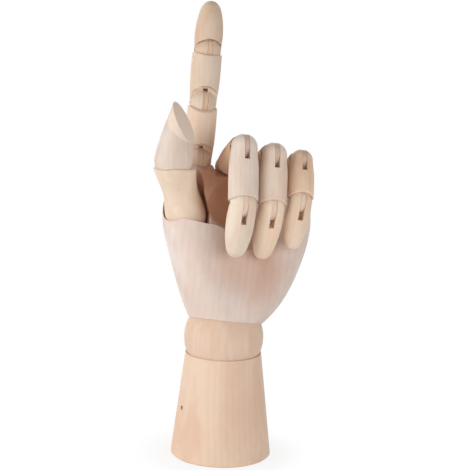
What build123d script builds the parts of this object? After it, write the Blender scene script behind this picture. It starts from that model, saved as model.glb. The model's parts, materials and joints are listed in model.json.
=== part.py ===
from build123d import *
from dataclasses import dataclass
import math
import os

os.makedirs("parts", exist_ok=True)

# Axes: +Z up, the palm of this left hand faces -Y, the thumb is at -X.
# Each joint has its own frame: X is the hinge pin, Z points to the fingertip, -Y is the inside of the bend.

# Forearm
BASE_RADIUS = 33.4
FOREARM_TOP_RADIUS = 25.2
FOREARM_HEIGHT = 69.5
BASE_EDGE = 0.8

# Wrist
WRIST_BALL_RADIUS = 26.3
WRIST_CENTRE_HEIGHT = 80.0
SOCKET_GAP = 0.3
PALM_LEAN_BACK = 10.0
PALM_LEAN_SIDE = 6.6
PALM_RIM_HEIGHT = 11.0

# Tension spring in the forearm
BORE_RADIUS = 7.0
BORE_FLOOR = 26.0
ANCHOR_HEIGHT = 34.0
ANCHOR_TURN = 13.5
ANCHOR_RADIUS = 1.5
ANCHOR_RECESS = 1.5
SPRING_RADIUS = 5.2
SPRING_WIRE = 1.5
SPRING_TOP = 50.0
STUD_RADIUS = 1.6
STUD_HEAD_RADIUS = 4.0
STUD_FOOT = 1.5
HOOK_CUP_WALL = 1.5
HOOK_LENGTH = 30.0
HOOK_HOLE_LEAD = 4.0
BALL_HOLLOW_GAP = 0.7
SIDE_TILT_ROOM = 18.0
BEND_ROOM = 31.0

# Knuckle joints
TONGUE_THICKNESS = 3.0
SLOT_WIDTH = 3.4
SLOT_REACH = 9.6
TIP_SLOT_FRONT = 6.6
TIP_SLOT_BACK = 10.8
TAIL_WIDTH = 9.0
TAIL_LENGTH = 15.0
MORTISE_GAP = 0.05
PIN_RADIUS = 1.1
PIN_RUNNING_GAP = 0.05
PIN_RECESS = 0.7
DOME_INSET = 0.95
RIM_SLOPE = 0.75
RIM_EDGE = 0.45
TONGUE_INSET = 0.35

# Palm: rounded sections from the wrist rim to the knuckles, as height, left, right, front, back.
PALM_SECTIONS = (
    (PALM_RIM_HEIGHT, -24.6, 24.6, -24.6, 24.6),
    (22, -30.5, 33.5, -23.5, 22.5),
    (36, -36.5, 41.0, -22.0, 20.5),
    (54, -43.5, 47.0, -21.0, 18.5),
    (74, -49.5, 50.5, -20.5, 16.5),
    (92, -47.5, 49.0, -17.0, 15.0),
    (120, -40.5, 41.5, -12.5, 12.5),
)
THUMB_SHELF = ((-64, 77.6), (-21.4, 72.4), (-21.4, 80), (-35.8, 112), (-35.8, 130), (-64, 130))
THUMB_SHELF_DEPTH = 5.0
KNUCKLE_SIDE = 1.7
PALM_SIDE = 22.0
HOLLOW_RADIUS = 41.0
HOLLOW_CENTRE = (4.0, -48.0, 89.0)
MOUND_RADIUS = 21.8
MOUND_CENTRE = (-22.0, -14.0, 52.0)

# Thumb
THUMB_FOOT_RADIUS = 13.4
THUMB_WAIST_RADIUS = 11.4
THUMB_TOP_RADIUS = 13.7
THUMB_KNUCKLE_RADIUS = 12.5
THUMB_TIP_LENGTH = 42.0
THUMB_TIP_RADIUS = 5.9
THUMB_SLOT_REACH = 13.5
THUMB_PIN_COVER = 3.0
THUMB_PAD_HEIGHT = 28.8
THUMB_PAD_TURN = -14.5
THUMB_PAD_SLANT = 52.7
THUMB_HINGE_TURN = 20.0
THUMB_SWING_ROOM = 12.0
THUMB_SWING_EASE = 0.1
THUMB_ROOT = (-35.0, -5.0, 77.0)
THUMB_KNUCKLE = (-50.0, -21.0, 110.3)
THUMB_TIP_AIM = (-49.6, -28.0, 133.3)


@dataclass(frozen=True)
class Knuckle:
    """How far one hinge joint is cut away, measured from its pin."""

    palm_dip: float
    back_dip: float
    scoop: float = 0.0
    ear_drop: float = 2.0


@dataclass(frozen=True)
class Finger:
    """One finger: radius, knuckle position on the palm, lengths and bends in the pose shown."""

    name: str
    radius: float
    knuckle: tuple
    splay: float
    lengths: tuple
    bends: tuple


FIRST = Knuckle(palm_dip=5.5, back_dip=4.0, scoop=10.6)
SECOND = Knuckle(palm_dip=7.0, back_dip=4.5, scoop=10.6)
THIRD = Knuckle(palm_dip=4.4, back_dip=4.2, scoop=6.6)
THUMB_JOINT = Knuckle(palm_dip=5.0, back_dip=5.4, ear_drop=3.2)
KNUCKLES = (FIRST, SECOND, THIRD)

FINGERS = (
    Finger("index", 9.8, (-29.6, 0, 114.0), -0.9, (37.8, 35.1, 33.0), (0, 0, 0)),
    Finger("middle", 9.6, (-8.8, 0, 112.0), -1.9, (40.9, 37.0, 36.0), (74.6, 93.9, 31.6)),
    Finger("ring", 9.2, (11.8, 0, 110.0), -0.7, (39.0, 34.2, 36.0), (74.6, 97.0, 32.8)),
    Finger("little", 8.4, (31.3, 0, 105.0), 1.7, (35.4, 28.4, 32.0), (66.0, 94.3, 33.8)),
)
SEGMENTS = ("proximal", "middle", "distal")


def shifted(frame, x=0.0, y=0.0, z=0.0, bend=0.0, lean=0.0, twist=0.0):
    """A frame moved along its own axes, then turned about its X, Y and Z."""
    return Plane(frame.location * Location((x, y, z), (bend, lean, twist)))


def front_of(frame):
    """Sketch plane through the frame's X and Z, seen from the inside of the bend."""
    return Plane(origin=frame.origin, x_dir=frame.x_dir, z_dir=-frame.y_dir)


def side_of(frame):
    """Sketch plane through the frame's Y and Z, square to the hinge pin."""
    return Plane(origin=frame.origin, x_dir=frame.y_dir, z_dir=frame.x_dir)


def hinge_scoop(frame, radius, reach):
    """The space cut from the inside of a bend, with an arched far edge."""
    wide = 2 * radius
    with BuildPart() as scoop:
        with BuildSketch(side_of(frame)):
            with BuildLine():
                Polyline(
                    (-1.2, -wide),
                    (-1.2, 1.5),
                    (-0.5 * radius, reach),
                    (-wide, reach),
                    (-wide, -wide),
                    close=True,
                )
            make_face()
        extrude(amount=wide, both=True)
        with BuildSketch(front_of(frame)):
            with Locations((0, reach - 1.25 * radius)):
                Circle(1.25 * radius)
        extrude(amount=wide, both=True, mode=Mode.INTERSECT)
    return scoop.part


def socket_end(frame, radius, knuckle, dome, left=None, right=None, reach=None):
    """The space cut from the end that carries the next piece: saddle rim and cup."""
    reach = reach or 1.6 * radius
    slope = RIM_SLOPE * (reach - radius)
    left = left or 1.3 * radius
    right = right or 1.3 * radius
    with BuildPart() as end:
        with BuildSketch(side_of(frame).offset(-left)):
            with BuildLine():
                Spline(
                    (-reach, -knuckle.palm_dip - slope),
                    (-radius, -knuckle.palm_dip),
                    (0, -knuckle.ear_drop),
                    (radius, -knuckle.back_dip),
                    (reach, -knuckle.back_dip - slope),
                )
                Polyline(
                    (reach, -knuckle.back_dip - slope),
                    (reach, reach),
                    (-reach, reach),
                    (-reach, -knuckle.palm_dip - slope),
                )
            make_face()
        extrude(amount=left + right)
        with Locations(frame.location):
            Sphere(dome + SOCKET_GAP)
    return end.part


def tongue(frame, dome, tail=TAIL_LENGTH):
    """The flat link: a round head on the hinge pin and a tail let into the piece below."""
    with BuildPart() as link:
        with BuildSketch(side_of(frame)):
            Circle(dome - TONGUE_INSET)
            with Locations((0, -tail / 2)):
                Rectangle(TAIL_WIDTH, tail)
            Circle(PIN_RADIUS + PIN_RUNNING_GAP, mode=Mode.SUBTRACT)
        extrude(amount=TONGUE_THICKNESS / 2, both=True)
    return link.part


def mortise(frame, tail=TAIL_LENGTH):
    """The pocket that holds a tongue's tail."""
    depth = tail + MORTISE_GAP
    with BuildPart() as pocket:
        with BuildSketch(side_of(frame)):
            with Locations((0, -depth / 2)):
                Rectangle(TAIL_WIDTH + 2 * MORTISE_GAP, depth)
        extrude(amount=TONGUE_THICKNESS / 2 + MORTISE_GAP, both=True)
    return pocket.part


def hinge_pin(frame, half_length, radius=PIN_RADIUS):
    """A steel pin along the hinge axis."""
    with BuildPart() as pin:
        with BuildSketch(side_of(frame)):
            Circle(radius)
        extrude(amount=half_length, both=True)
        chamfer(pin.edges(), 0.2)
    return pin.part


def dome_cut(frame, dome, pin_half_length, front_reach, back_reach):
    """The space cut from a dome: the tongue's slot, open in front and behind, and the pin's hole."""
    wide = 2 * dome
    with BuildPart() as cut:
        with BuildSketch(side_of(frame)):
            Circle(dome)
            for side, reach in ((-1, front_reach), (1, back_reach)):
                with Locations((side * wide / 2, (reach - wide) / 2)):
                    Rectangle(wide, reach + wide)
        extrude(amount=SLOT_WIDTH / 2, both=True)
        with BuildSketch(side_of(frame)):
            Circle(PIN_RADIUS)
        extrude(amount=pin_half_length, both=True)
    return cut.part


def phalanx(frame, finger, number, next_frame=None):
    """One turned finger piece with its dome, slot and scoop, and a socket or a fingertip."""
    radius = finger.radius
    dome = radius - DOME_INSET
    length = finger.lengths[number]
    knuckle = KNUCKLES[number]
    scoop = hinge_scoop(frame, radius, knuckle.scoop)
    reaches = (SLOT_REACH, SLOT_REACH) if next_frame else (TIP_SLOT_FRONT, TIP_SLOT_BACK)
    slot = dome_cut(frame, dome, 2 * radius, *reaches)
    if next_frame:
        socket = socket_end(next_frame, radius, KNUCKLES[number + 1], dome)
        pocket = mortise(next_frame)
    with BuildPart() as piece:
        with BuildSketch(front_of(frame)):
            with BuildLine():
                CenterArc((0, 0), dome, -90, 90)
                if next_frame:
                    Spline(
                        (dome, 0),
                        (radius - 0.3, 0.25 * length),
                        (radius, length),
                        tangents=((0, 1), (0, 1)),
                    )
                    Line((radius, length), (0, length))
                else:
                    Spline(
                        (dome, 0),
                        (0.95 * radius, 0.26 * length),
                        (0.93 * radius, 0.45 * length),
                        (0.78 * radius, 0.74 * length),
                        (0, length),
                        tangents=((0, 1), (-1, 0)),
                    )
                Line((0, length), (0, -dome))
            make_face()
        revolve(axis=Axis(frame.origin, frame.z_dir))
        add(scoop, mode=Mode.SUBTRACT)
        with Locations(frame.location):
            Sphere(dome)
        if next_frame:
            add(socket, mode=Mode.SUBTRACT)
            chamfer(piece.edges(Select.LAST).sort_by(SortBy.LENGTH)[-1], RIM_EDGE)
            add(pocket, mode=Mode.SUBTRACT)
        add(slot, mode=Mode.SUBTRACT)
    return piece.part


def write(part, name):
    """Labels one finished piece and writes its file."""
    part.label = name
    export_step(part, f"parts/{name}.step")


# The wrist centre carries the palm, and the palm carries the five first knuckles.
anchor = shifted(Plane.XY, z=ANCHOR_HEIGHT, twist=ANCHOR_TURN)
wrist = Plane.XY.offset(WRIST_CENTRE_HEIGHT)
ball_frame = shifted(wrist, lean=PALM_LEAN_SIDE)
palm_frame = shifted(ball_frame, bend=-PALM_LEAN_BACK)

# Forearm
with BuildPart() as forearm:
    with BuildSketch(Plane.XZ):
        with BuildLine():
            Polyline(
                (0, 0),
                (BASE_RADIUS - BASE_EDGE, 0),
                (BASE_RADIUS, BASE_EDGE),
                (FOREARM_TOP_RADIUS, FOREARM_HEIGHT),
                (0, FOREARM_HEIGHT),
                close=True,
            )
        make_face()
    revolve(axis=Axis.Z)
    with Locations(wrist.location):
        Sphere(WRIST_BALL_RADIUS + SOCKET_GAP, mode=Mode.SUBTRACT)
    with BuildSketch(Plane.XY.offset(BORE_FLOOR)):
        Circle(BORE_RADIUS)
    extrude(amount=FOREARM_HEIGHT, mode=Mode.SUBTRACT)
    with BuildSketch(side_of(anchor)):
        Circle(ANCHOR_RADIUS)
    extrude(amount=BASE_RADIUS, both=True, mode=Mode.SUBTRACT)
write(forearm.part, "forearm")

anchor_end = BASE_RADIUS + (FOREARM_TOP_RADIUS - BASE_RADIUS) * ANCHOR_HEIGHT / FOREARM_HEIGHT
write(hinge_pin(anchor, anchor_end - ANCHOR_RECESS, ANCHOR_RADIUS), "anchor_pin")

# The spring stands for its hooked coils: it hangs on the anchor pin and holds the stud's foot.
with BuildPart() as wrist_spring:
    with BuildSketch(Plane.XY.offset(ANCHOR_HEIGHT + ANCHOR_RADIUS)):
        Circle(SPRING_RADIUS)
        Circle(SPRING_RADIUS - SPRING_WIRE, mode=Mode.SUBTRACT)
    extrude(amount=SPRING_TOP - ANCHOR_HEIGHT - ANCHOR_RADIUS)
write(wrist_spring.part, "wrist_spring")

# Swivel stud: it turns on the spring, and its round head sits at the wrist's centre.
with BuildPart() as swivel_stud:
    with BuildSketch(Plane.XY.offset(SPRING_TOP)):
        Circle(SPRING_RADIUS)
    extrude(amount=STUD_FOOT)
    with BuildSketch(Plane.XY.offset(SPRING_TOP)):
        Circle(STUD_RADIUS)
    extrude(amount=WRIST_CENTRE_HEIGHT - SPRING_TOP)
    with Locations(wrist.location):
        Sphere(STUD_HEAD_RADIUS)
write(swivel_stud.part, "swivel_stud")

# Wrist ball: a turned bead with a bore that flares both ways, so that the stud and hook can lean.
cup_radius = STUD_HEAD_RADIUS + SOCKET_GAP + HOOK_CUP_WALL
with BuildPart() as wrist_ball:
    with Locations(ball_frame.location):
        Sphere(WRIST_BALL_RADIUS)
        Sphere(cup_radius + BALL_HOLLOW_GAP, mode=Mode.SUBTRACT)
    for room, direction in ((SIDE_TILT_ROOM, -1), (BEND_ROOM, 1)):
        flare = STUD_RADIUS + 0.6 + WRIST_BALL_RADIUS * math.tan(math.radians(room))
        with BuildSketch(ball_frame):
            Circle(STUD_RADIUS + 0.6)
        with BuildSketch(ball_frame.offset(direction * WRIST_BALL_RADIUS)):
            Circle(flare)
        loft(mode=Mode.SUBTRACT)
write(wrist_ball.part, "wrist_ball")

# Palm hook: a cup over the stud's head, on a shank screwed into the palm.
with BuildPart() as palm_hook:
    with Locations(palm_frame.location):
        Sphere(cup_radius)
    with BuildSketch(palm_frame):
        Circle(STUD_RADIUS)
    extrude(amount=WRIST_BALL_RADIUS + HOOK_LENGTH)
    with Locations(palm_frame.location):
        Sphere(STUD_HEAD_RADIUS + SOCKET_GAP, mode=Mode.SUBTRACT)
    split(bisect_by=palm_frame.offset(1.0), keep=Keep.TOP)
write(palm_hook.part, "palm_hook")


def finger_frames(finger):
    """The three joint frames of a finger, in the pose shown, and the plain frame of its knuckle."""
    x, y, z = finger.knuckle
    seat = shifted(palm_frame, x, y, z, lean=finger.splay)
    frames = [shifted(seat, bend=finger.bends[0])]
    for length, bend in zip(finger.lengths, finger.bends[1:]):
        frames.append(shifted(shifted(frames[-1], z=length), bend=bend))
    return seat, frames


def aimed(origin, target):
    """A thumb frame whose Z points at the target and whose inside bend faces the fingers."""
    start = palm_frame.from_local_coords(Vector(*origin))
    end = palm_frame.from_local_coords(Vector(*target))
    turn = math.radians(THUMB_HINGE_TURN)
    hinge = palm_frame.y_dir * math.cos(turn) + palm_frame.x_dir * math.sin(turn)
    return Plane(origin=start, x_dir=hinge, z_dir=end - start)


# Thumb frames: the root in the palm's cup, and the knuckle between the two thumb pieces.
thumb_root = aimed(THUMB_ROOT, THUMB_KNUCKLE)
thumb_knuckle = aimed(THUMB_KNUCKLE, THUMB_TIP_AIM)
THUMB_LENGTH = math.dist(THUMB_ROOT, THUMB_KNUCKLE)
hinge = thumb_knuckle.x_dir
between = thumb_root.z_dir + thumb_knuckle.z_dir
upright = between - hinge * between.dot(hinge)
thumb_seat = Plane(origin=thumb_knuckle.origin, x_dir=hinge, z_dir=upright)


def thumb_outline(frame, gap=0.0):
    """The turned solid of the thumb's root piece, grown by a gap."""
    foot = THUMB_FOOT_RADIUS + gap
    with BuildPart() as body:
        with BuildSketch(front_of(frame)):
            with BuildLine():
                CenterArc((0, 0), foot, -90, 90)
                Spline(
                    (foot, 0),
                    (THUMB_WAIST_RADIUS + gap, 0.46 * THUMB_LENGTH),
                    (THUMB_TOP_RADIUS + gap, THUMB_LENGTH),
                    tangents=((0, 1), (0, 1)),
                )
                Polyline((THUMB_TOP_RADIUS + gap, THUMB_LENGTH), (0, THUMB_LENGTH), (0, -foot))
            make_face()
        revolve(axis=Axis(frame.origin, frame.z_dir))
    return body.part


# Palm
palm_cuts = []
palm_tongues = []
for finger in FINGERS:
    seat, frames = finger_frames(finger)
    dome = finger.radius - DOME_INSET
    beside = finger.radius + KNUCKLE_SIDE
    left = PALM_SIDE if finger is FINGERS[0] else beside
    right = PALM_SIDE if finger is FINGERS[-1] else beside
    palm_cuts.append(socket_end(seat, finger.radius, FIRST, dome, left, right, PALM_SIDE))
    palm_cuts.append(mortise(seat))
    palm_tongues.append((tongue(seat, dome), f"{finger.name}_proximal_tongue"))

# The thumb's root piece swings in a space of its own shape, a little wider in the middle of the swing.
for share in (0, 0.5, -0.5, 1, -1):
    swung = shifted(thumb_root, bend=share * THUMB_SWING_ROOM)
    palm_cuts.append(thumb_outline(swung, SOCKET_GAP + THUMB_SWING_EASE * (1 - abs(share))))

# The hollow that the fingers close into stops short of the mound under the thumb.
with BuildPart() as hollow:
    with Locations(palm_frame.location):
        with Locations(HOLLOW_CENTRE):
            Sphere(HOLLOW_RADIUS)
        with Locations(MOUND_CENTRE):
            Sphere(MOUND_RADIUS, mode=Mode.SUBTRACT)

with BuildPart() as palm:
    for height, left, right, front, back in PALM_SECTIONS:
        middle = shifted(palm_frame, x=(left + right) / 2, y=(front + back) / 2, z=height)
        with BuildSketch(middle):
            depth = back - front
            RectangleRounded(right - left, depth, 0.49 * depth)
    loft()
    with Locations(palm_frame.location):
        Sphere(WRIST_BALL_RADIUS + SOCKET_GAP, mode=Mode.SUBTRACT)
    with BuildSketch(palm_frame.offset(WRIST_BALL_RADIUS - HOOK_HOLE_LEAD)):
        Circle(STUD_RADIUS)
    extrude(amount=HOOK_LENGTH + HOOK_HOLE_LEAD, mode=Mode.SUBTRACT)
    add(hollow.part, mode=Mode.SUBTRACT)
    for cut in palm_cuts:
        add(cut, mode=Mode.SUBTRACT)
    with BuildSketch(front_of(palm_frame).offset(THUMB_SHELF_DEPTH)):
        Polygon(*THUMB_SHELF, align=None)
    extrude(amount=PALM_SIDE, mode=Mode.SUBTRACT)
    add(mortise(thumb_root), mode=Mode.SUBTRACT)
write(palm.part, "palm")
for link, name in palm_tongues:
    write(link, name)
write(tongue(thumb_root, THUMB_FOOT_RADIUS), "thumb_root_tongue")

# Fingers: each piece, the tongue that joins the next one to it, and the pin in its dome.
for finger in FINGERS:
    seat, frames = finger_frames(finger)
    dome = finger.radius - DOME_INSET
    for number, segment in enumerate(SEGMENTS):
        name = f"{finger.name}_{segment}"
        next_frame = None
        if number < 2:
            next_frame = shifted(frames[number], z=finger.lengths[number])
            write(tongue(next_frame, dome), f"{finger.name}_{SEGMENTS[number + 1]}_tongue")
        write(phalanx(frames[number], finger, number, next_frame), name)
        write(hinge_pin(frames[number], dome - PIN_RECESS), f"{name}_pin")

# Thumb root piece: a round foot in the palm's cup, a waist, and a cup for the thumb's tip.
foot_pin = THUMB_FOOT_RADIUS - THUMB_PIN_COVER
thumb_socket = socket_end(thumb_seat, THUMB_TOP_RADIUS, THUMB_JOINT, THUMB_KNUCKLE_RADIUS)
thumb_body = thumb_outline(thumb_root)
thumb_pocket = mortise(thumb_seat)
thumb_slot = dome_cut(thumb_root, THUMB_FOOT_RADIUS, foot_pin, THUMB_SLOT_REACH, THUMB_SLOT_REACH)
with BuildPart() as thumb_root_piece:
    add(thumb_body)
    add(thumb_socket, mode=Mode.SUBTRACT)
    add(thumb_pocket, mode=Mode.SUBTRACT)
    add(thumb_slot, mode=Mode.SUBTRACT)
write(thumb_root_piece.part, "thumb_root")
write(hinge_pin(thumb_root, foot_pin), "thumb_root_pin")
write(tongue(thumb_seat, THUMB_KNUCKLE_RADIUS), "thumb_tip_tongue")

# Thumb tip: a tapering piece with its pad cut off at a slant towards the index finger.
pad_turn = shifted(thumb_knuckle, z=THUMB_PAD_HEIGHT, twist=THUMB_PAD_TURN)
pad_plane = shifted(pad_turn, bend=THUMB_PAD_SLANT)
knuckle_pin = THUMB_KNUCKLE_RADIUS - THUMB_PIN_COVER
tip_slot = dome_cut(thumb_knuckle, THUMB_KNUCKLE_RADIUS, knuckle_pin, THUMB_SLOT_REACH, THUMB_SLOT_REACH)
with BuildPart() as thumb_tip:
    with BuildSketch(front_of(thumb_knuckle)):
        with BuildLine():
            CenterArc((0, 0), THUMB_KNUCKLE_RADIUS, -90, 90)
            shoulder = (0.82 * THUMB_KNUCKLE_RADIUS, 0.46 * THUMB_TIP_LENGTH)
            top = (THUMB_TIP_RADIUS, THUMB_TIP_LENGTH)
            Spline(
                (THUMB_KNUCKLE_RADIUS, 0),
                (0.95 * THUMB_KNUCKLE_RADIUS, 0.2 * THUMB_TIP_LENGTH),
                shoulder,
                tangents=((0, 1), (top[0] - shoulder[0], top[1] - shoulder[1])),
            )
            Polyline(shoulder, top, (0, THUMB_TIP_LENGTH))
            Line((0, THUMB_TIP_LENGTH), (0, -THUMB_KNUCKLE_RADIUS))
        make_face()
    revolve(axis=Axis(thumb_knuckle.origin, thumb_knuckle.z_dir))
    add(tip_slot, mode=Mode.SUBTRACT)
    split(bisect_by=pad_plane, keep=Keep.BOTTOM)
write(thumb_tip.part, "thumb_tip")
write(hinge_pin(thumb_knuckle, knuckle_pin), "thumb_tip_pin")
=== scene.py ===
"""Dresses the articulated wooden hand: raw beech on its pieces, steel inside them, and a plain studio."""
import json
import logging
import math
from dataclasses import dataclass
from enum import Enum

import bpy
from mathutils import Euler, Matrix, Vector

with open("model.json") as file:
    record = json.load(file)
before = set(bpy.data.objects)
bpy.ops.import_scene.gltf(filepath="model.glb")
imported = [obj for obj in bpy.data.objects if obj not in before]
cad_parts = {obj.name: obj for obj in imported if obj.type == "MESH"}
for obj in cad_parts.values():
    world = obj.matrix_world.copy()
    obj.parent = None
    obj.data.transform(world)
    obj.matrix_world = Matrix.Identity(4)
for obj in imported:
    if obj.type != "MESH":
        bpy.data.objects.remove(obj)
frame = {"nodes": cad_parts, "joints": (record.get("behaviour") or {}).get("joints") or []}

Tree = bpy.types.NodeTree
Socket = bpy.types.NodeSocket

LOG = logging.getLogger("hand")
MM = 0.001
UP = Vector((0.0, 0.0, 1.0))
FINGER_NAMES = ("index", "middle", "ring", "little")
SEGMENTS = ("proximal", "middle", "distal")
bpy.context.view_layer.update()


def srgb(code: str) -> tuple[float, float, float, float]:
    """Turns an sRGB hex colour to the linear values that shaders take, by that standard's own curve.

    Args:
        code: A hash and six hex digits.

    Returns:
        Linear red, green and blue, and a fourth channel of 1.
    """
    channels = []
    for start in (1, 3, 5):
        value = int(code[start:start + 2], 16) / 255
        channels.append(value / 12.92 if value <= 0.04045 else ((value + 0.055) / 1.055) ** 2.4)
    return (channels[0], channels[1], channels[2], 1.0)


WHITE = srgb("#FFFFFF")


def node(
    tree: Tree,
    kind: str,
    inputs: dict[str | int, object] | None = None,
    **settings: str,
) -> bpy.types.Node:
    """Adds one shader node with its settings, values and links.

    Args:
        tree: The node tree that takes the node.
        kind: The node's type name.
        inputs: Socket name or number to a value, or to the output socket that feeds it.
        **settings: The node's own properties.

    Returns:
        The new node.
    """
    made = tree.nodes.new(kind)
    for key, value in settings.items():
        setattr(made, key, value)
    for key, value in (inputs or {}).items():
        if isinstance(value, Socket):
            tree.links.new(value, made.inputs[key])
        else:
            made.inputs[key].default_value = value
    return made


def cleared(owner: bpy.types.Material | bpy.types.World) -> Tree:
    """Gives a new material or world a node tree with nothing in it.

    Args:
        owner: The material or world.

    Returns:
        The empty tree.
    """
    owner.use_nodes = True
    owner.node_tree.nodes.clear()
    return owner.node_tree


def joint_at(name: str) -> Vector:
    """The place of a joint's pin at rest, in metres."""
    found = next(joint for joint in frame["joints"] if joint["name"] == name)
    return Vector(found["pos_m"])


def tip_of(part: str, start: Vector) -> Vector:
    """The vertex of a CAD node that lies farthest from a point, both in metres."""
    corners = (vertex.co for vertex in frame["nodes"][part].data.vertices)
    return max(corners, key=lambda corner: (corner - start).length).copy()


def outward(turn: float, lift: float) -> Vector:
    """The direction that leads away from the hand.

    Args:
        turn: Degrees round Z from the hand's front, positive to the right.
        lift: Degrees above the level.

    Returns:
        A unit vector.
    """
    around, above = math.radians(turn), math.radians(lift)
    level = math.cos(above)
    return Vector((math.sin(around) * level, -math.cos(around) * level, math.sin(above)))


def dress(part: str, material: bpy.types.Material) -> None:
    """Gives a CAD node one material in all its slots.

    Args:
        part: The node's name.
        material: The material to assign.
    """
    slots = frame["nodes"][part].material_slots
    if not slots:
        frame["nodes"][part].data.materials.append(material)
    for slot in slots:
        slot.material = material
    LOG.info("%s: %s", part, material.name)


class Sawn(Enum):
    """How a blank was sawn: the distance in millimetres from its axis to the middle of the tree."""

    RIFT = 48.0
    FLAT = 24.0


class Blend(Enum):
    """How a patch of painted light or shade meets the wood: multiplied on it as painted shade, or mixed
    in its place as painted light.
    """

    PAINTED_SHADE = "MULTIPLY"
    PAINTED_LIGHT = "MIX"


@dataclass(frozen=True)
class Grain:
    """Where one piece's grain runs, in the shared frame.

    Attributes:
        origin: A point on the piece's axis, in metres.
        along: The direction of the grain.
        turn: How far the middle of the tree lies round the axis, in degrees.
        sawn: How the blank was sawn.
    """

    origin: Vector
    along: Vector
    turn: float
    sawn: Sawn = Sawn.RIFT

    def euler(self) -> Euler:
        """Turns about the grain, then leans it from +Z to its direction.

        Returns:
            The rotation that does both.
        """
        lean = UP.rotation_difference(self.along.normalized()).to_matrix()
        spin = Matrix.Rotation(math.radians(self.turn), 3, "Z")
        return (lean @ spin).to_euler()


@dataclass(frozen=True)
class Figure:
    """A soft pattern in the wood that is drawn out along the grain.

    Attributes:
        width_mm: Its size across the grain.
        length_mm: Its size along the grain.
        detail: How many finer layers lie on it.
        roughness: How strong those layers are, from 0 to 1.
    """

    width_mm: float
    length_mm: float
    detail: float = 2.0
    roughness: float = 0.5

    def draw(self, tree: Tree, local: Socket) -> Socket:
        """Draws the pattern in a piece's own space.

        Args:
            tree: The node tree that takes the nodes.
            local: The place in millimetres, with Z along the grain.

        Returns:
            The socket with the pattern, from 0 to 1.
        """
        across, along = 1.0 / self.width_mm, 1.0 / self.length_mm
        scaled = node(tree, "ShaderNodeVectorMath", {
            0: local,
            1: (across, across, along),
        }, operation="MULTIPLY")
        return node(tree, "ShaderNodeTexNoise", {
            "Vector": scaled.outputs["Vector"],
            "Scale": 1.0,
            "Detail": self.detail,
            "Roughness": self.roughness,
        }).outputs["Fac"]


@dataclass(frozen=True)
class PaintedShading:
    """A soft-edged place where a piece's colour is darkened as painted shade or lightened as painted
    light.

    Attributes:
        joint: The joint that its place is measured from.
        offset_mm: How far its middle lies from that joint along X, Y and Z.
        radii_mm: How far it reaches along X, Y and Z.
        colour: The colour multiplied on as painted shade, or mixed in as painted light.
        core: The share of the reach that has the full colour.
        blend: How the colour meets the wood.
    """

    joint: str
    offset_mm: tuple[float, float, float]
    radii_mm: tuple[float, float, float]
    colour: str
    core: float
    blend: Blend = Blend.PAINTED_SHADE

    def over(self, tree: Tree, place: Socket, colour: Socket) -> Socket:
        """Lays the painted light or shade over a piece's colour.

        Args:
            tree: The node tree that takes the nodes.
            place: The place in the shared frame, in metres.
            colour: The wood's colour without the patch.

        Returns:
            The socket with the colour that results.
        """
        reach = node(tree, "ShaderNodeMapping", {
            "Vector": place,
            "Location": joint_at(self.joint) + Vector(self.offset_mm) * MM,
            "Scale": Vector(self.radii_mm) * MM,
        }, vector_type="TEXTURE")
        distance = node(tree, "ShaderNodeVectorMath", {0: reach.outputs["Vector"]}, operation="LENGTH")
        share = node(tree, "ShaderNodeMapRange", {
            "Value": distance.outputs["Value"],
            "From Min": self.core,
            "From Max": 1.0,
            "To Min": 1.0,
            "To Max": 0.0,
        }, interpolation_type="SMOOTHSTEP")
        return node(tree, "ShaderNodeMix", {
            "Factor": share.outputs["Result"],
            "A": colour,
            "B": srgb(self.colour),
        }, data_type="RGBA", blend_type=self.blend.value).outputs["Result"]


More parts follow.
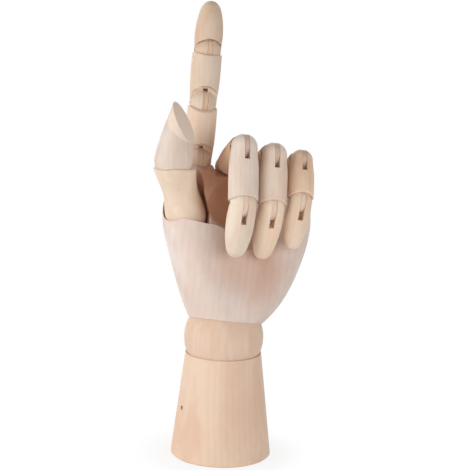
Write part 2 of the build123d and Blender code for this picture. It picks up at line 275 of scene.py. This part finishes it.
@dataclass(frozen=True)
class SandedBeech:
    """Raw beech, turned or carved and sanded fine, with no varnish.

    Beech is pale and even: it gives the eye a soft pinkish tan with faint rings, short darker
    pores along the grain, and a dull sheen where the sanding closed the surface.

    Attributes:
        name: The material's name.
        early: Colour of the open wood between the rings.
        late: Colour of the denser ring lines and of the pores.
        blush: Colour of the warm areas that steaming leaves.
        ring_mm: Distance between two rings.
        ring_line: The shares of a ring at which its late wood starts and is densest.
        ring_depth: How strongly the rings show, from 0 to 1.
        trunk_taper: The share of the length along the grain that counts in a ring's radius.
        sway: The pattern by which the rings wander.
        sway_mm: How far they wander.
        pores: The pattern of the pores, the peaks of which are the pores. A real pore is 0.1 mm
            wide and a few millimetres long, and is drawn coarser so that it shows.
        pore_level: The levels of that pattern at which a pore starts and is darkest.
        pore_depth: How strongly the pores show, from 0 to 1.
        clouds: The pattern of the warm areas.
        cloud_level: The levels of that pattern at which a warm area starts and is warmest.
        roughness: The shader's roughness at the lowest and the highest level of the pores' pattern.
        fibre_mm: Height that the pores' pattern gives the surface.
        fibre_strength: How strongly that height shades, from 0 to 1.
        ior: The refractive index.
        specular: The strength of the mirrored light, where 0.5 is what the index alone gives.
        painted_shading: Places where painted shade or painted light lies over the wood.
    """

    name: str
    early: str
    late: str
    blush: str
    ring_mm: float = 3.2
    ring_line: tuple[float, float] = (0.35, 1.0)
    ring_depth: float = 0.12
    trunk_taper: float = 0.02
    sway: Figure = Figure(20.0, 91.0)
    sway_mm: float = 9.0
    pores: Figure = Figure(0.9, 10.0, roughness=0.6)
    pore_level: tuple[float, float] = (0.56, 0.74)
    pore_depth: float = 0.16
    clouds: Figure = Figure(18.2, 40.4, detail=3.0, roughness=0.55)
    cloud_level: tuple[float, float] = (0.38, 0.66)
    roughness: tuple[float, float] = (0.50, 0.66)
    fibre_mm: float = 0.12
    fibre_strength: float = 0.22
    ior: float = 1.50
    specular: float = 0.28
    painted_shading: tuple[PaintedShading, ...] = ()

    def rings(self, tree: Tree, local: Socket, sawn: Sawn) -> Socket:
        """Draws the year rings round the middle of the tree, which lies beside the piece.

        Args:
            tree: The node tree that takes the nodes.
            local: The place in millimetres, with Z along the grain.
            sawn: How the blank was sawn.

        Returns:
            The socket with 1 in the late wood and 0 in the early wood.
        """
        beside = node(tree, "ShaderNodeVectorMath", {
            0: local,
            1: (sawn.value, 0.0, 0.0),
        }, operation="SUBTRACT")
        tapered = node(tree, "ShaderNodeVectorMath", {
            0: beside.outputs["Vector"],
            1: (1.0, 1.0, self.trunk_taper),
        }, operation="MULTIPLY")
        radius = node(tree, "ShaderNodeVectorMath", {0: tapered.outputs["Vector"]}, operation="LENGTH")
        swayed = node(tree, "ShaderNodeMath", {
            0: self.sway.draw(tree, local),
            1: self.sway_mm,
            2: radius.outputs["Value"],
        }, operation="MULTIPLY_ADD")
        count = node(tree, "ShaderNodeMath", {
            0: swayed.outputs["Value"],
            1: self.ring_mm,
        }, operation="DIVIDE")
        phase = node(tree, "ShaderNodeMath", {0: count.outputs["Value"]}, operation="FRACT")
        return node(tree, "ShaderNodeMapRange", {
            "Value": phase.outputs["Value"],
            "From Min": self.ring_line[0],
            "From Max": self.ring_line[1],
        }, interpolation_type="SMOOTHSTEP").outputs["Result"]

    def figured(self, tree: Tree, local: Socket, pores: Socket, sawn: Sawn) -> Socket:
        """Colours the wood with its warm areas, rings and pores.

        Args:
            tree: The node tree that takes the nodes.
            local: The place in millimetres, with Z along the grain.
            pores: The pattern of the pores.
            sawn: How the blank was sawn.

        Returns:
            The socket with the colour.
        """
        warmth = node(tree, "ShaderNodeMapRange", {
            "Value": self.clouds.draw(tree, local),
            "From Min": self.cloud_level[0],
            "From Max": self.cloud_level[1],
        }, interpolation_type="SMOOTHSTEP")
        flecks = node(tree, "ShaderNodeMapRange", {
            "Value": pores,
            "From Min": self.pore_level[0],
            "From Max": self.pore_level[1],
        }, interpolation_type="SMOOTHSTEP")
        colour = node(tree, "ShaderNodeMix", {
            "Factor": warmth.outputs["Result"],
            "A": srgb(self.early),
            "B": srgb(self.blush),
        }, data_type="RGBA").outputs["Result"]
        marks = (
            (self.rings(tree, local, sawn), self.ring_depth),
            (flecks.outputs["Result"], self.pore_depth),
        )
        for mark, depth in marks:
            share = node(tree, "ShaderNodeMath", {0: mark, 1: depth}, operation="MULTIPLY")
            colour = node(tree, "ShaderNodeMix", {
                "Factor": share.outputs["Value"],
                "A": colour,
                "B": srgb(self.late),
            }, data_type="RGBA").outputs["Result"]
        return colour

    def material(self, grain: Grain) -> bpy.types.Material:
        """Builds the wood with its grain along one piece.

        Args:
            grain: Where the piece's grain runs.

        Returns:
            The new material.
        """
        made = bpy.data.materials.new(self.name)
        tree = cleared(made)
        place = node(tree, "ShaderNodeTexCoord").outputs["Object"]
        local = node(tree, "ShaderNodeMapping", {
            "Vector": place,
            "Location": grain.origin,
            "Rotation": grain.euler(),
            "Scale": (MM, MM, MM),
        }, vector_type="TEXTURE").outputs["Vector"]
        pores = self.pores.draw(tree, local)
        colour = self.figured(tree, local, pores, grain.sawn)
        # Painted shade and painted light are laid over the wood's colour here.
        for patch in self.painted_shading:
            colour = patch.over(tree, place, colour)
        dullness = node(tree, "ShaderNodeMapRange", {
            "Value": pores,
            "To Min": self.roughness[0],
            "To Max": self.roughness[1],
        })
        fibre = node(tree, "ShaderNodeBump", {
            "Height": pores,
            "Strength": self.fibre_strength,
            "Distance": self.fibre_mm * MM,
        })
        surface = node(tree, "ShaderNodeBsdfPrincipled", {
            "Base Color": colour,
            "Roughness": dullness.outputs["Result"],
            "Normal": fibre.outputs["Normal"],
            "IOR": self.ior,
            "Specular IOR Level": self.specular,
        })
        node(tree, "ShaderNodeOutputMaterial", {"Surface": surface.outputs["BSDF"]})
        return made


@dataclass(frozen=True)
class DrawnSteel:
    """Drawn steel wire and rod, left bare: grey, with small duller marks from handling.

    Attributes:
        name: The material's name.
        bright: Colour of the clean metal.
        dull: Colour of the marks.
        mark_mm: Size of a mark, coarser than real so that it shows.
        detail: How many finer layers the marks have.
        roughness: The shader's roughness in the marks and on the clean metal.
    """

    name: str = "drawn_steel"
    bright: str = "#B4B4B2"
    dull: str = "#8C8A86"
    mark_mm: float = 0.3
    detail: float = 3.0
    roughness: tuple[float, float] = (0.28, 0.46)

    def material(self) -> bpy.types.Material:
        """Builds the metal.

        Returns:
            The new material.
        """
        made = bpy.data.materials.new(self.name)
        tree = cleared(made)
        place = node(tree, "ShaderNodeTexCoord").outputs["Object"]
        marks = node(tree, "ShaderNodeTexNoise", {
            "Vector": place,
            "Scale": 1.0 / (self.mark_mm * MM),
            "Detail": self.detail,
        }).outputs["Fac"]
        tone = node(tree, "ShaderNodeMix", {
            "Factor": marks,
            "A": srgb(self.dull),
            "B": srgb(self.bright),
        }, data_type="RGBA")
        rough = node(tree, "ShaderNodeMapRange", {
            "Value": marks,
            "To Min": self.roughness[0],
            "To Max": self.roughness[1],
        })
        surface = node(tree, "ShaderNodeBsdfPrincipled", {
            "Base Color": tone.outputs["Result"],
            "Roughness": rough.outputs["Result"],
            "Metallic": 1.0,
        })
        node(tree, "ShaderNodeOutputMaterial", {"Surface": surface.outputs["BSDF"]})
        return made


class Stock(Enum):
    """The beech that the knuckles' flat links are cut from, which differs from knuckle to knuckle."""

    TAN = SandedBeech(name="beech_tongue", early="#DDBDA4", late="#B58D70", blush="#D3AE93")
    DULL = SandedBeech(name="beech_tongue_middle", early="#CEB4A2", late="#A88670", blush="#C4A591")
    PALE = SandedBeech(name="beech_tongue_distal", early="#EAD3C0", late="#C8A58B", blush="#E0C4AE")


@dataclass(frozen=True)
class Tongue:
    """The flat link in one knuckle's slot.

    Attributes:
        part: The node's name.
        pin: The place of its pin, in metres.
        along: The direction of its grain, which runs the length of its tail.
        stock: The beech that it is cut from.
        turn: How far the middle of the tree lies round the grain, in degrees.
    """

    part: str
    pin: Vector
    along: Vector
    stock: Stock = Stock.TAN
    turn: float = 90.0

    def build(self) -> None:
        """Dresses the link."""
        dress(self.part, self.stock.value.material(Grain(self.pin, self.along, self.turn, Sawn.FLAT)))


@dataclass
class Forearm:
    """The tapered stand, the wrist ball and the steel inside them.

    Attributes:
        stand: The finish of the tapered stand.
        ball: The finish of the wrist ball.
        stand_turn: How far the middle of the tree lies round the stand's grain, in degrees.
        ball_turn: The same for the ball.
        metal: The steel nodes of the wrist.
    """

    stand: SandedBeech = SandedBeech(
        name="beech_forearm", early="#E6CBB3", late="#CEA687", blush="#E1BFA7", ring_mm=4.2,
    )
    ball: SandedBeech = SandedBeech(
        name="beech_wrist", early="#E3C8B4", late="#CBA387", blush="#DCBCA4", ring_mm=4.0,
    )
    stand_turn: float = 215.0
    ball_turn: float = 160.0
    metal: tuple[str, ...] = ("anchor_pin", "wrist_spring", "swivel_stud", "palm_hook")

    def build(self, steel: bpy.types.Material) -> None:
        """Dresses the stand, the ball and the hidden steel.

        Args:
            steel: The metal of the pin, the spring, the stud and the hook.
        """
        dress("forearm", self.stand.material(Grain(Vector(), UP, self.stand_turn)))
        dress("wrist_ball", self.ball.material(Grain(joint_at("wrist_bend"), UP, self.ball_turn)))
        for part in self.metal:
            dress(part, steel)


@dataclass
class Palm:
    """The carved palm and the links let into it.

    Attributes:
        wood: The palm's finish.
        turn: How far the middle of the tree lies round the grain, in degrees.
    """

    wood: SandedBeech = SandedBeech(
        name="beech_palm", early="#E6D9D1", late="#CAAE9C", blush="#DDC8BC", ring_mm=4.6,
        painted_shading=(
            # Painted shade: the middle and right of the palm, under the curled fingers, is darkened for
            # the shadow they cast. Its left and lower edges stay paler.
            PaintedShading("wrist_bend", (12.0, -12.0, 56.0), (40.0, 34.0, 46.0), "#E2CEC2", 0.3),
            # The bottom of the hollow cuts across the grain. Its red-brown darkening is painted shade for
            # the shade that falls between the thumb and the curled fingers.
            PaintedShading("wrist_bend", (-3.0, 8.0, 94.0), (22.0, 18.0, 28.0), "#E2B79B", 0.8),
        ),
    )
    turn: float = 250.0

    def build(self) -> None:
        """Dresses the palm, its grain running from the wrist to the fingers, and its five links."""
        wrist = joint_at("wrist_bend")
        along = (joint_at("middle_proximal_bend") + joint_at("ring_proximal_bend")) / 2 - wrist
        dress("palm", self.wood.material(Grain(wrist, along, self.turn, Sawn.FLAT)))
        for name in FINGER_NAMES:
            Tongue(f"{name}_proximal_tongue", joint_at(f"{name}_proximal_bend"), along).build()
        Tongue("thumb_root_tongue", joint_at("thumb_root_swing"), along).build()


@dataclass
class Finger:
    """One finger of three turned pieces, on hinge pins.

    Attributes:
        name: The finger's name.
        woods: The finish of each piece, from the palm to the tip.
        turns: How far the middle of the tree lies round each piece's grain, in degrees.
        stocks: What the links of the second and third knuckles are cut from.
    """

    name: str
    woods: tuple[SandedBeech, SandedBeech, SandedBeech]
    turns: tuple[float, float, float]
    stocks: tuple[Stock, Stock] = (Stock.DULL, Stock.PALE)

    def build(self, steel: bpy.types.Material) -> None:
        """Dresses the pieces, with the grain along each of them, their pins and the two links.

        Args:
            steel: The metal of the hinge pins.
        """
        starts = [joint_at(f"{self.name}_{segment}_bend") for segment in SEGMENTS]
        ends = [*starts[1:], tip_of(f"{self.name}_{SEGMENTS[-1]}", starts[-1])]
        for segment, wood, turn, start, end in zip(SEGMENTS, self.woods, self.turns, starts, ends):
            part = f"{self.name}_{segment}"
            dress(part, wood.material(Grain(start, end - start, turn)))
            dress(f"{part}_pin", steel)
        for segment, stock, start, end in zip(SEGMENTS[1:], self.stocks, starts, ends):
            Tongue(f"{self.name}_{segment}_tongue", end, end - start, stock).build()


@dataclass
class Thumb:
    """The thumb's two turned pieces.

    Attributes:
        root: The finish of the lower piece.
        tip: The finish of the upper piece.
        root_turn: How far the middle of the tree lies round the lower piece's grain, in degrees.
        tip_turn: The same for the upper piece.
        metal: The hinge pins.
    """

    root: SandedBeech = SandedBeech(
        name="beech_thumb_root", early="#E7D2BD", late="#CAA384", blush="#E0C4AB",
        painted_shading=(
            # Painted shade: the side that faces the hollow is darkened for the shade it turns into.
            PaintedShading("thumb_root_swing", (14.0, -6.4, 15.8), (13.0, 14.0, 24.0), "#D9B398", 0.2),
        ),
    )
    tip: SandedBeech = SandedBeech(
        name="beech_thumb_tip", early="#DBCCC0", late="#C3A691", blush="#D5BFAE",
        painted_shading=(
            # Painted light: the facet of the cut that makes the pad is mixed to a lighter colour, to
            # brighten it where it turns away from the lamps.
            PaintedShading("thumb_tip_swing", (10.3, -7.2, 28.9), (17.0, 17.0, 17.0), "#E4CFBD", 0.93, Blend.PAINTED_LIGHT),
        ),
    )
    root_turn: float = 70.0
    tip_turn: float = 200.0
    metal: tuple[str, ...] = ("thumb_root_pin", "thumb_tip_pin")

    def build(self, steel: bpy.types.Material) -> None:
        """Dresses both pieces, the link between them and the pins.

        Args:
            steel: The metal of the hinge pins.
        """
        foot = joint_at("thumb_root_swing")
        knuckle = joint_at("thumb_tip_swing")
        end = tip_of("thumb_tip", knuckle)
        dress("thumb_root", self.root.material(Grain(foot, knuckle - foot, self.root_turn)))
        dress("thumb_tip", self.tip.material(Grain(knuckle, end - knuckle, self.tip_turn)))
        Tongue("thumb_tip_tongue", knuckle, knuckle - foot).build()
        for part in self.metal:
            dress(part, steel)


@dataclass(frozen=True)
class SoftLamp:
    """One square soft lamp that faces the hand.

    Attributes:
        name: The lamp's name.
        turn: How far round the hand it hangs, in degrees from the camera's side, positive to the right.
        lift: How high it hangs, in degrees.
        power: Its power, in watts.
        size: Its edge, in metres.
    """

    name: str
    turn: float
    lift: float
    power: float
    size: float = 0.8


@dataclass
class Studio:
    """A pale floor, low soft lamps in front and on both sides, two behind, and the photograph's camera.

    Attributes:
        eye_mm: The camera's place.
        azimuth: The view's direction round Z, in degrees.
        pitch: How far the camera looks down, in degrees.
        roll: How far the camera is rolled, in degrees.
        focal_px: Focal length in pixels of the photograph.
        frame_px: Width of the photograph.
        sensor_mm: Width of the sensor.
        far_clip: How far the camera sees, in metres.
        sky: Strength of the even light.
        sky_colour: Colour of the even light.
        floor_colour: Colour of the floor's paint.
        floor_radius: Radius of the floor, in metres.
        floor_sides: How many sides its round edge has.
        floor_white: How white the camera sees the floor at the foot. Further out it is pure white.
        shadow_mm: Distances from the middle at which the floor starts to fade to white, and is white.
        lamp_distance: How far the lamps hang from the hand, in metres.
        aim_height: The height that the lamps face, in metres.
        lamps: The lamps.
    """

    eye_mm: tuple[float, float, float] = (-202.456, -876.933, 310.0)
    azimuth: float = -13.344
    pitch: float = 10.176
    roll: float = -1.79
    focal_px: float = 1394.9
    frame_px: float = 470.0
    sensor_mm: float = 36.0
    far_clip: float = 20.0
    sky: float = 0.14
    sky_colour: str = "#FBFCFF"
    floor_colour: str = "#F4F3F1"
    floor_radius: float = 3.0
    floor_sides: int = 96
    floor_white: float = 0.85
    shadow_mm: tuple[float, float] = (34.0, 62.0)
    lamp_distance: float = 1.5
    aim_height: float = 0.15
    lamps: tuple[SoftLamp, ...] = (
        SoftLamp("left", -80.0, 8.0, 10.8),
        SoftLamp("left_front", -50.0, 22.0, 6.7),
        SoftLamp("front", 10.0, 8.0, 3.4),
        SoftLamp("right_front", 40.0, 8.0, 8.9),
        SoftLamp("back_left", -150.0, 30.0, 5.0),
        SoftLamp("back_right", 150.0, 30.0, 4.0),
    )

    def camera(self) -> None:
        """Sets the camera that sees the hand as the photograph does."""
        turn, tilt = math.radians(self.azimuth), math.radians(self.roll)
        ahead = -outward(self.azimuth, self.pitch)
        level = Vector((math.cos(turn), math.sin(turn), 0.0))
        below = ahead.cross(level)
        right = math.cos(tilt) * level + math.sin(tilt) * below
        down = -math.sin(tilt) * level + math.cos(tilt) * below
        lens = bpy.data.cameras.new("camera")
        lens.sensor_fit = "HORIZONTAL"
        lens.sensor_width = self.sensor_mm
        lens.lens = self.sensor_mm * self.focal_px / self.frame_px
        lens.clip_end = self.far_clip
        made = bpy.data.objects.new("camera", lens)
        axes = Matrix((right, -down, -ahead)).transposed()
        made.matrix_world = Matrix.Translation(Vector(self.eye_mm) * MM) @ axes.to_4x4()
        bpy.context.scene.collection.objects.link(made)
        bpy.context.scene.camera = made

    def hang(self, lamp: SoftLamp) -> None:
        """Hangs one lamp.

        Args:
            lamp: The lamp to hang.
        """
        light = bpy.data.lights.new(lamp.name, "AREA")
        light.shape = "SQUARE"
        light.size = lamp.size
        light.energy = lamp.power
        away = outward(self.azimuth + lamp.turn, lamp.lift)
        made = bpy.data.objects.new(lamp.name, light)
        made.location = away * self.lamp_distance + UP * self.aim_height
        made.rotation_euler = (-away).to_track_quat("-Z", "Y").to_euler()
        bpy.context.scene.collection.objects.link(made)

    def seen_plainly(self, tree: Tree) -> Socket:
        """Gives 1 for rays that look at the background itself, straight, mirrored or through glass.

        Args:
            tree: The node tree that takes the nodes.

        Returns:
            The socket with the result.
        """
        ray = node(tree, "ShaderNodeLightPath")
        either = node(tree, "ShaderNodeMath", {
            0: ray.outputs["Is Camera Ray"],
            1: ray.outputs["Is Glossy Ray"],
        }, operation="MAXIMUM")
        return node(tree, "ShaderNodeMath", {
            0: either.outputs["Value"],
            1: ray.outputs["Is Transmission Ray"],
        }, operation="MAXIMUM").outputs["Value"]

    def floor(self) -> None:
        """Lays the pale floor, which keeps the foot's soft shadow and turns pure white further out."""
        made = bpy.data.materials.new("painted_floor")
        tree = cleared(made)
        place = node(tree, "ShaderNodeTexCoord").outputs["Object"]
        distance = node(tree, "ShaderNodeVectorMath", {0: place}, operation="LENGTH")
        fade = node(tree, "ShaderNodeMapRange", {
            "Value": distance.outputs["Value"],
            "From Min": self.shadow_mm[0] * MM,
            "From Max": self.shadow_mm[1] * MM,
            "To Min": self.floor_white,
            "To Max": 1.0,
        }, interpolation_type="SMOOTHSTEP")
        share = node(tree, "ShaderNodeMath", {
            0: self.seen_plainly(tree),
            1: fade.outputs["Result"],
        }, operation="MULTIPLY")
        paint = node(tree, "ShaderNodeBsdfDiffuse", {"Color": srgb(self.floor_colour)})
        glow = node(tree, "ShaderNodeEmission", {"Color": WHITE, "Strength": 1.0})
        mixed = node(tree, "ShaderNodeMixShader", {
            0: share.outputs["Value"],
            1: paint.outputs["BSDF"],
            2: glow.outputs["Emission"],
        })
        node(tree, "ShaderNodeOutputMaterial", {"Surface": mixed.outputs["Shader"]})
        bpy.ops.mesh.primitive_circle_add(
            vertices=self.floor_sides, radius=self.floor_radius, fill_type="NGON",
        )
        slab = bpy.context.object
        slab.name = "floor"
        slab.data.materials.append(made)

    def air(self) -> None:
        """Sets the even light: plain white where it is seen, weaker on the hand."""
        world = bpy.data.worlds.new("studio")
        bpy.context.scene.world = world
        tree = cleared(world)
        seen = node(tree, "ShaderNodeBackground", {"Color": WHITE, "Strength": 1.0})
        felt = node(tree, "ShaderNodeBackground", {"Color": srgb(self.sky_colour), "Strength": self.sky})
        mixed = node(tree, "ShaderNodeMixShader", {
            0: self.seen_plainly(tree),
            1: felt.outputs["Background"],
            2: seen.outputs["Background"],
        })
        node(tree, "ShaderNodeOutputWorld", {"Surface": mixed.outputs["Shader"]})

    def build(self) -> None:
        """Sets up the floor, the light and the camera."""
        self.floor()
        self.air()
        for lamp in self.lamps:
            self.hang(lamp)
        self.camera()
        bpy.context.scene.view_settings.view_transform = "Standard"
        LOG.info("studio: floor, sky, %d lamps, camera", len(self.lamps))


FINGERS = (
    Finger("index", (
        SandedBeech(name="beech_index_proximal", early="#E2CAB4", late="#C7A287", blush="#DABBA0"),
        SandedBeech(name="beech_index_middle", early="#DBC7B3", late="#C2A286", blush="#D5BBA4"),
        SandedBeech(name="beech_index_distal", early="#D5BEA7", late="#BC997C", blush="#CFB197"),
    ), turns=(30.0, 140.0, 255.0), stocks=(Stock.TAN, Stock.TAN)),
    Finger("middle", (
        # This piece is darker and more orange than the other proximal pieces: partly its own tone, partly
        # painted shade for the shadow between the index and the curled middle finger.
        SandedBeech(name="beech_middle_proximal", early="#DDB696", late="#C4936F", blush="#D6AA86"),
        SandedBeech(name="beech_middle_middle", early="#E3D3C5", late="#C9AB94", blush="#DCC6B5"),
        SandedBeech(name="beech_middle_distal", early="#E7D7C4", late="#CCAF93", blush="#E0CAB4"),
    ), turns=(80.0, 20.0, 190.0)),
    Finger("ring", (
        SandedBeech(name="beech_ring_proximal", early="#E6C6AA", late="#CB9F7F", blush="#DEB797"),
        SandedBeech(name="beech_ring_middle", early="#E8D4C2", late="#CDAB91", blush="#E1C5B0"),
        SandedBeech(name="beech_ring_distal", early="#EFD9C2", late="#D8B191", blush="#EDCCB2"),
    ), turns=(200.0, 310.0, 45.0)),
    Finger("little", (
        SandedBeech(name="beech_little_proximal", early="#E6C6AA", late="#CB9F7F", blush="#DEB797"),
        SandedBeech(name="beech_little_middle", early="#EBCFB6", late="#CFA688", blush="#E2BFA2"),
        SandedBeech(name="beech_little_distal", early="#ECD7C2", late="#D1AD92", blush="#E4C7AD"),
    ), turns=(10.0, 120.0, 280.0)),
)


def main() -> None:
    """Builds the sub-assemblies in order."""
    logging.basicConfig(level=logging.INFO, format="%(name)s: %(message)s")
    steel = DrawnSteel().material()
    Forearm().build(steel)
    Palm().build()
    for finger in FINGERS:
        finger.build(steel)
    Thumb().build(steel)
    Studio().build()


if __name__ == "__main__":
    main()
